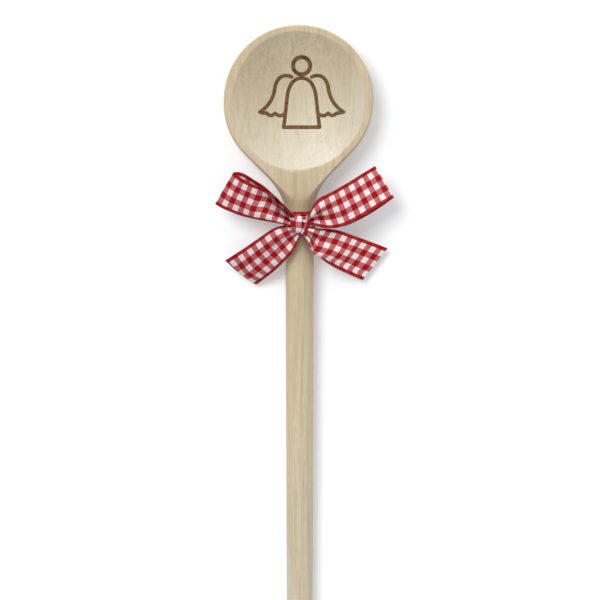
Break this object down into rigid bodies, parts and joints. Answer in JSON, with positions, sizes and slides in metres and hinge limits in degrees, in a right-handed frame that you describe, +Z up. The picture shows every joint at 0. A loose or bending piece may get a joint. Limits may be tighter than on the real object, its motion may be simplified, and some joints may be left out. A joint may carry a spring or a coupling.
{
  "type": "wooden cooking spoon",
  "caption": "Wooden cooking spoon with a round shallow dish, an engraved figure and a long round handle, with a gingham ribbon bow tied round its neck.",
  "frame": {"origin": "middle of the small flat on the back of the head, on which the spoon lies", "axes": "+Y along the spoon from the handle's end to the tip of the head, +Z up out of the dish, +X to the right looking down into the dish"},
  "size_m": [0.0734, 0.3, 0.0224],
  "materials": {
    "wood": "fine sanded, unvarnished",
    "ribbon": "woven red and white gingham"
  },
  "bodies": {
    "spoon": {"spoon": "wood"},
    "ribbon_band": {"ribbon_neck_band": "ribbon"},
    "bow": {"ribbon_half_knot": "ribbon", "ribbon_knot_wrap": "ribbon", "ribbon_left_loop": "ribbon", "ribbon_right_loop": "ribbon", "ribbon_left_tail": "ribbon", "ribbon_right_tail": "ribbon"}
  },
  "joints": [
    {"name": "ribbon_slide", "type": "slide", "parent": "spoon", "child": "ribbon_band", "axis": [0, -0.9999, -0.0112], "range_m": [0, 0.23]},
    {"name": "ribbon_turn", "type": "hinge", "parent": "ribbon_band", "child": "bow", "pos_m": [0, -0.0505, 0.00744], "axis": [0, 0.9999, 0.0112], "continuous": true}
  ]
}
